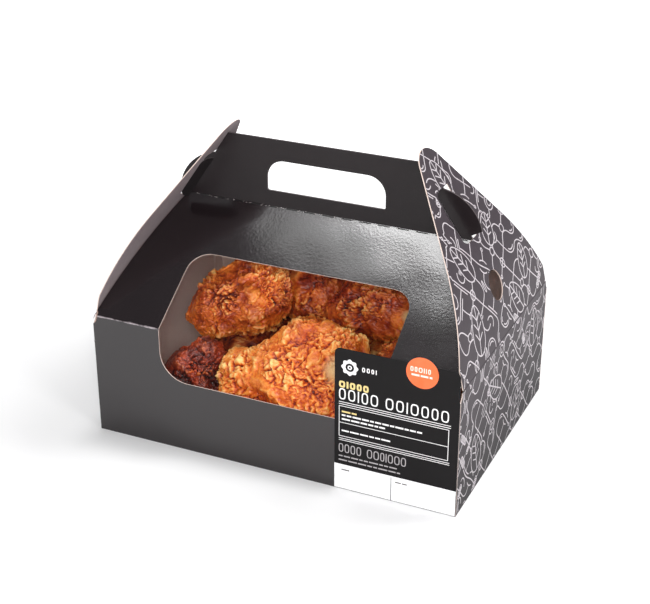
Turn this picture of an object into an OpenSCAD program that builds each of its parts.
// Carry-out gable box of folded paperboard: a tray with a window, two roof
// panels that end in handle panels, and two gable ends whose slots hook over
// the ears of the handle. Eight pieces of fried chicken lie inside.
// X runs along the length, the front face looks towards -Y, and Z is up.
// The origin is the middle of the base.

/* [Box] */
// Outer length of the box
box_len = 260; // [240:1:280]
// Outer depth of the box
box_dep = 180; // [170:1:190]
// Height of the walls up to the eave creases
wall_h = 87.5; // [82:0.5:92]
// Height of the crease between the roof and the handle
ridge_h = 148.2; // [144:0.1:152]
// Height of the top edge of the handle
handle_h = 195.8; // [192:0.1:198]
// Thickness of the paperboard
board = 0.6; // [0.5:0.05:0.8]

/* [Gable ends] */
// Lean from upright of a gable at its eave crease, in degrees
lean_low = 12; // [10:0.1:14]
// Lean from upright of a gable's straight top run, in degrees
lean_top = 34.3; // [33:0.1:36]
// Distance up the gable where its bend starts
bend_start = 4; // [2:1:12]
// Distance up the gable where its bend ends
bend_end = 68; // [62:1:68]
// Length of a gable, from the eave crease to its tip
gable_len = 134; // [130:0.5:136]
// Radius of the round tip
tip_r = 18; // [12:0.5:19]
// Half of the gable's width at the eave
gable_half = 85.5; // [82:0.5:86]
// Distance up the gable where its sides start to slope in
shoulder = 13; // [8:1:16]
// Radius of the steam vent
vent_r = 10; // [6:0.5:11]
// Distance up the gable to the vent's centre
vent_up = 34; // [30:0.5:34]

/* [Handle] */
// Width of the finger slot
grip_w = 86; // [76:1:92]
// Height of the finger slot
grip_h = 22.2; // [20:0.2:24]
// Height of the finger slot's lower edge above the ridge crease
grip_up = 11; // [9:0.5:14]
// Radius of the finger slot's upper corners
grip_r = 13; // [8:0.5:15]
// Radius of the finger slot's lower corners
grip_r_low = 1.5; // [1:0.5:8]
// Radius of the ears' round edge
ear_r = 33.2; // [32:0.1:33.5]
// Distance from the middle of the box to the centre of that round edge
ear_x = 77.2; // [76:0.1:77.5]

/* [Window and label] */
// Width of the window
window_w = 159; // [120:1:170]
// Height of the window's lower edge
window_z = 51; // [40:1:60]
// How far the window reaches up the roof
window_up = 62.5; // [40:0.5:66]
// Radius of the window's lower corners
window_r_low = 20; // [8:1:24]
// Radius of the window's upper corners
window_r_top = 15; // [8:1:24]
// Distance from the middle of the box to the label's left edge
label_x = 47; // [30:1:60]
// Height of the label's upper edge
label_z = 102.5; // [98:0.5:104]
// Diameter of the round sticker
sticker_d = 21; // [16:0.5:24]

/* [Hidden] */

half_len = box_len / 2;
half_dep = box_dep / 2;
// A crease is a round bead on its hinge line; the moving plate starts beside it.
bead_r = board / 2;
crease_gap = 0.05;
plate_start = bead_r + crease_gap;
// The gables fold back further, so their plates start a little further out.
gable_start = 0.6;
// The two handle panels stand this far each side of the middle.
handle_gap = 0.2;
eave_y = half_dep - board / 2;
ridge_y = handle_gap + board / 2;
roof_run = eave_y - ridge_y;
roof_rise = ridge_h - wall_h;
roof_slope = atan2(roof_rise, roof_run);
roof_len = norm([roof_run, roof_rise]);
// Room between the gables and the edges of the roof and handle inside them
edge_gap = 0.5;
// Relief notch at each eave corner: radius, and how deep it cuts in
notch_r = 7;
notch_in = 3.5;
// Glue flaps inside the end walls
flap_w = 12;
flap_h = 80;
film = 0.2;
film_lap = 4.5;
paper = 0.2;
// Slot in a gable, measured across (y) and up its surface (s), and its tongue
slot_back = 5.4;
slot_hinge = -16;
slot_low = 68.4;
slot_top = 106.5;
slot_corner_r = 7;
// The slot and the vent are cut this far each way, past the gable's bend
slot_cut = 8;
tongue_w = 9;
tongue_bend = 26;
tongue_room = 0.6;
// The centre of an ear's round edge lies this far below the ridge crease
ear_drop = 0.8;
// The ears' lower edge runs from inside the handle out to this point
ear_low = 150.5;
ear_tip = [109.3, 155.5];
// Their lower edge starts to climb this far inside that point
ear_climb = 9;
far = 300;
// Cutters reach this far past each face of a board
cut_past = 4;
// The window is one opening that runs on past the crease by this much on each panel
window_past = 30;
$fn = 64;

// Lean of the gable at the distance s up its surface
function lean(s) =
    s <= bend_start ? lean_low
    : s >= bend_end ? lean_top
    : lean_low + (lean_top - lean_low) * (s - bend_start) / (bend_end - bend_start);

// Radius of the bend, from its length and the angle that it turns through
bend_r = (bend_end - bend_start) / ((lean_top - lean_low) * PI / 180);

// Point (x, z) of the right gable's middle surface at the distance s:
// a straight run, an arc that turns from lean_low to lean_top, a straight run
function gable_mid(s) =
    let (low = min(s, bend_start), high = max(s - bend_end, 0), a = lean(s))
    [half_len - board / 2 - low * sin(lean_low) - bend_r * (cos(lean_low) - cos(a))
         - high * sin(lean_top),
     wall_h + low * cos(lean_low) + bend_r * (sin(a) - sin(lean_low))
         + high * cos(lean_top)];

// The same surface, moved outwards by d
function gable_off(s, d) = gable_mid(s) + d * [cos(lean(s)), sin(lean(s))];

// Distances at which the gable's profile is drawn: its ends and its bend
bend_steps = 16;
profile_s = concat([gable_start],
    [for (i = [0:bend_steps]) bend_start + (bend_end - bend_start) * i / bend_steps],
    [gable_len]);

// Half of the gable's width at s: upright to the shoulder, a straight slope,
// and a round tip that the slope runs into
slope_end = gable_len - tip_r;
tip_turn = 30;
function gable_width(s) =
    s <= shoulder ? gable_half
    : s < slope_end + tip_r * sin(tip_turn)
        ? gable_half + (tip_r * cos(tip_turn) - gable_half) * (s - shoulder)
              / (slope_end + tip_r * sin(tip_turn) - shoulder)
    : sqrt(max(0, tip_r * tip_r - (s - slope_end) * (s - slope_end)));

outline_s = concat([gable_start], [for (s = [shoulder:6:slope_end]) s],
    [for (a = [tip_turn:5:90]) slope_end + tip_r * sin(a)]);

// Colours of the board outside, its printed ends, and the food
card = [0.23, 0.21, 0.22];
print = [0.42, 0.39, 0.41];
crust = [0.72, 0.36, 0.13];

// ---- helpers ----

// Lays a drawing of (x, z) upright, from y to y + thick
module upright(y, thick) {
    translate([0, y + thick, 0]) rotate([90, 0, 0]) linear_extrude(thick) children();
}

// Lays a drawing of (y, z) across the box, from x to x + thick
module across(x, thick) {
    translate([x, 0, 0]) rotate([90, 0, 90]) linear_extrude(thick) children();
}

// Everything between the two gables, less the room that edges need
module between_gables() {
    right_side = [for (s = concat([0], profile_s)) gable_off(s, -bead_r - edge_gap)];
    left_side = [for (i = [len(right_side) - 1:-1:0]) [-right_side[i].x, right_side[i].y]];
    upright(-far / 2, far)
        polygon(concat(right_side, [[0, far]], left_side, [[-half_len, 0], [half_len, 0]]));
}

// A rectangle with round corners: r_low at the bottom and r_top at the top
module round_rect(w, low, top, r_low, r_top) {
    h = top - low;
    intersection() {
        translate([-w / 2, low]) square([w, h]);
        union() {
            translate([-w / 2, low + r_low]) square([w, h - r_low - r_top]);
            translate([-w / 2 + r_low, low]) square([w - 2 * r_low, h - r_top]);
            translate([-w / 2 + r_top, low + r_low]) square([w - 2 * r_top, h - r_low]);
            for (side = [-1, 1]) {
                translate([side * (w / 2 - r_low), low + r_low]) circle(r_low);
                translate([side * (w / 2 - r_top), top - r_top]) circle(r_top);
            }
        }
    }
}

// Puts a plate drawn as (x, up the slope) on the front roof's middle surface
module on_roof() {
    translate([0, -eave_y, wall_h]) rotate([roof_slope, 0, 0]) children();
}

// Round notches that relieve a panel's two corners at the eave
module corner_notches(half) {
    for (side = [-1, 1])
        translate([side * (half + notch_r - notch_in), 0]) circle(notch_r);
}

// ---- tray ----

module floor_panel() {
    color(card)
        translate([-half_len + board, -half_dep + board, 0])
            cube([box_len - 2 * board, box_dep - 2 * board, board]);
}

// A front or back wall: plate, and the bead of its eave crease on its top edge
module long_wall(windowed) {
    color(card) difference() {
        union() {
            upright(-half_dep, board) translate([-half_len, 0]) square([box_len, wall_h]);
            translate([-half_len, -eave_y, wall_h])
                rotate([0, 90, 0]) cylinder(r = bead_r, h = box_len);
        }
        upright(-half_dep - cut_past, board + 2 * cut_past)
            translate([0, wall_h]) corner_notches(half_len);
        if (windowed)
            upright(-half_dep - cut_past, board + 2 * cut_past)
                round_rect(window_w, window_z, wall_h + window_past, window_r_low, 1);
    }
}

module front_wall() { long_wall(true); }

module back_wall() { mirror([0, 1, 0]) long_wall(false); }

// An end wall stands between the two long walls; the gable's crease is its top bead
module end_wall() {
    half = half_dep - board;
    color(print) difference() {
        union() {
            across(half_len - board, board) translate([-half, 0]) square([2 * half, wall_h]);
            translate([half_len - bead_r, -gable_half, wall_h])
                rotate([-90, 0, 0]) cylinder(r = bead_r, h = 2 * gable_half);
        }
        across(half_len - board - cut_past, board + 2 * cut_past)
            translate([0, wall_h]) corner_notches(half_dep);
    }
}

module right_end_wall() { end_wall(); }

module left_end_wall() { mirror([1, 0, 0]) end_wall(); }

// A glue flap lies inside an end wall, at its front corner
module glue_flap() {
    color(card)
        translate([half_len - 2 * board, -half_dep + board, board])
            cube([board, flap_w, flap_h]);
}

module glue_flap_front_right() { glue_flap(); }

module glue_flap_front_left() { mirror([1, 0, 0]) glue_flap(); }

module glue_flap_back_right() { mirror([0, 1, 0]) glue_flap(); }

module glue_flap_back_left() { mirror([1, 0, 0]) mirror([0, 1, 0]) glue_flap(); }

module window_film_lower() {
    color([0.85, 0.9, 0.95, 0.4])
        translate([-window_w / 2 - film_lap, -half_dep + board, window_z - film_lap])
            cube([window_w + 2 * film_lap, film, wall_h - window_z + film_lap - plate_start]);
}

// The label is stuck to the front wall and stands a little above the eave
label_edge = 0.5;
label_r = 4;

module label() {
    color([0.12, 0.11, 0.11])
        upright(-half_dep - paper, paper) {
            translate([label_x, label_edge])
                square([half_len - label_edge - label_x, label_z - label_edge - label_r]);
            translate([label_x + label_r, label_z - label_r])
                square([half_len - label_edge - label_x - 2 * label_r, label_r]);
            for (x = [label_x + label_r, half_len - label_edge - label_r])
                translate([x, label_z - label_r]) circle(label_r);
        }
}

sticker_x = 105;
sticker_z = 97;

module label_sticker() {
    color([0.95, 0.45, 0.3])
        translate([sticker_x, -half_dep - paper, sticker_z])
            rotate([90, 0, 0]) cylinder(d = sticker_d, h = paper);
}

// ---- food ----

// A piece is the smooth skin round a few balls: [x, y, z, radius]
module food(balls) {
    color(crust) hull()
        for (b = balls)
            translate([b[0], b[1], b[2]]) sphere(b[3], $fn = 28);
}

module breast_front() {
    food([[-30, -56, 42, 24], [2, -56, 50, 29], [32, -60, 42, 25],
          [8, -42, 66, 26], [26, -44, 62, 24], [0, -50, 29, 27]]);
}

module breast_back() {
    food([[62, 44, 34, 30], [20, 52, 34, 28], [84, 34, 30, 26], [48, 20, 34, 24]]);
}

module thigh_left() {
    food([[-72, -16, 74, 21], [-46, -10, 82, 23], [-58, 0, 84, 20], [-80, -20, 68, 15]]);
}

module thigh_right() {
    food([[80, -42, 56, 23], [88, -34, 48, 22], [86, -58, 40, 22], [72, -34, 68, 18],
          [84, -46, 26, 23]]);
}

module drumstick_top() {
    food([[20, 4, 80, 21], [44, 2, 82, 19], [66, -4, 84, 13], [84, -8, 84, 8]]);
}

module drumstick_back() {
    food([[-16, 22, 76, 23], [-32, 32, 74, 19], [-56, 44, 72, 12], [-72, 52, 70, 8]]);
}

module wing_left() {
    food([[-74, -60, 42, 17], [-66, -66, 30, 17], [-82, -54, 22, 19], [-64, -52, 50, 15]]);
}

module wing_back() {
    food([[-58, 42, 36, 21], [-84, 22, 22, 18], [-80, 60, 20, 16], [-38, 22, 32, 20]]);
}

// ---- roof and handle ----

// A roof panel: plate between the gables, with the bead of its ridge crease
module roof_panel(windowed) {
    color(card) difference() {
        union() {
            intersection() {
                on_roof() translate([-half_len, plate_start, -bead_r])
                    cube([box_len, roof_len - plate_start, board]);
                between_gables();
            }
            intersection() {
                translate([-half_len, -ridge_y, ridge_h])
                    rotate([0, 90, 0]) cylinder(r = bead_r, h = box_len);
                between_gables();
            }
        }
        on_roof() translate([0, 0, -cut_past]) linear_extrude(2 * cut_past)
            corner_notches(half_len);
        if (windowed)
            on_roof() translate([0, 0, -cut_past]) linear_extrude(2 * cut_past)
                round_rect(window_w, -window_past, window_up, 1, window_r_top);
    }
}

module front_roof_panel() { roof_panel(true); }

module back_roof_panel() { mirror([0, 1, 0]) roof_panel(false); }

// The film is glued under the roof panel, round the window
module window_film_upper() {
    color([0.85, 0.9, 0.95, 0.4])
        on_roof() translate([-window_w / 2 - film_lap, 2 * plate_start, -bead_r - film])
            cube([window_w + 2 * film_lap, window_up + film_lap - 2 * plate_start, film]);
}

// One ear: a disc's edge, cut off along its sloping lower edge
module ear_shape() {
    intersection() {
        translate([ear_x, ridge_h - ear_drop]) circle(ear_r);
        polygon([[ear_x, ear_low], [ear_tip.x - ear_climb, ear_low], ear_tip,
                 [far / 2, ear_tip.y], [far / 2, far], [ear_x, far]]);
    }
}

// A handle panel: plate between the gables, its two ears and the finger slot
module handle_panel() {
    face_y = -ridge_y - bead_r;
    color(card) difference() {
        union() {
            intersection() {
                translate([-half_len, face_y, ridge_h + plate_start])
                    cube([box_len, board, handle_h - ridge_h - plate_start]);
                between_gables();
            }
            for (side = [0, 1])
                mirror([side, 0, 0]) upright(face_y, board) ear_shape();
        }
        upright(face_y - cut_past, board + 2 * cut_past)
            round_rect(grip_w, ridge_h + grip_up, ridge_h + grip_up + grip_h, grip_r_low, grip_r);
    }
}

module front_handle_panel() { handle_panel(); }

module back_handle_panel() { mirror([0, 1, 0]) handle_panel(); }

// ---- gables ----

// Stands a drawing of (y, s) on the right gable's straight top run
module on_upper_gable() {
    origin = gable_mid(bend_end);
    translate([origin.x, 0, origin.y]) rotate([0, -lean_top, 0])
        rotate([90, 0, 90]) translate([0, -bend_end, 0]) children();
}

// The slot: a tall opening with large round corners where its tongue hangs
module slot_shape() {
    low = slot_hinge - plate_start;
    w = slot_back - low;
    h = slot_top - slot_low;
    translate([low, slot_low + slot_corner_r]) square([w, h - 2 * slot_corner_r]);
    translate([low + slot_corner_r, slot_low]) square([w - slot_corner_r, h]);
    for (s = [slot_low + slot_corner_r, slot_top - slot_corner_r])
        translate([low + slot_corner_r, s]) circle(slot_corner_r);
}

module gable_panel() {
    outer = [for (s = profile_s) gable_off(s, bead_r)];
    inner = [for (i = [len(profile_s) - 1:-1:0]) gable_off(profile_s[i], -bead_r)];
    edge = [for (s = outline_s) [gable_width(s), gable_mid(s).y]];
    other = [for (i = [len(edge) - 1:-1:0]) [-edge[i].x, edge[i].y]];
    vent = gable_mid(vent_up);
    color(print) difference() {
        intersection() {
            upright(-half_dep, box_dep) polygon(concat(outer, inner));
            across(0, half_len + cut_past) polygon(concat(edge, other));
        }
        on_upper_gable() translate([0, 0, -slot_cut]) linear_extrude(2 * slot_cut) slot_shape();
        translate([vent.x, 0, vent.y]) rotate([0, 90 - lean_low, 0])
            cylinder(r = vent_r, h = 2 * slot_cut, center = true);
    }
}

module right_gable_panel() { gable_panel(); }

module left_gable_panel() { mirror([1, 0, 0]) gable_panel(); }

// The tongue is what the slot's cut pushes in: it has the slot's outline, trimmed short
module tongue_shape() {
    low = slot_low + tongue_room;
    h = slot_top - slot_low - 2 * tongue_room;
    intersection() {
        translate([0, low]) square([tongue_w, h]);
        union() {
            translate([0, low + slot_corner_r]) square([tongue_w, h - 2 * slot_corner_r]);
            translate([slot_corner_r, low]) square([tongue_w, h]);
            for (s = [low + slot_corner_r, low + h - slot_corner_r])
                translate([slot_corner_r, s]) circle(slot_corner_r);
        }
    }
}

// It hangs on its own crease, and the ear holds it bent inwards
module slot_tongue() {
    bead_low = slot_low + slot_corner_r;
    bead_top = slot_top - slot_corner_r;
    color(print)
        on_upper_gable() translate([slot_hinge, 0, 0]) {
            translate([0, bead_low, 0])
                rotate([-90, 0, 0]) cylinder(r = bead_r, h = bead_top - bead_low);
            rotate([0, tongue_bend, 0]) translate([0, 0, -bead_r])
                linear_extrude(board) tongue_shape();
        }
}

module right_slot_tongue() { slot_tongue(); }

module left_slot_tongue() { mirror([1, 0, 0]) slot_tongue(); }

floor_panel();
front_wall();
back_wall();
left_end_wall();
right_end_wall();
glue_flap_front_left();
glue_flap_front_right();
glue_flap_back_left();
glue_flap_back_right();
window_film_lower();
label();
label_sticker();
breast_front();
breast_back();
thigh_left();
thigh_right();
drumstick_top();
drumstick_back();
wing_left();
wing_back();
front_roof_panel();
window_film_upper();
front_handle_panel();
back_roof_panel();
back_handle_panel();
left_gable_panel();
right_gable_panel();
left_slot_tongue();
right_slot_tongue();
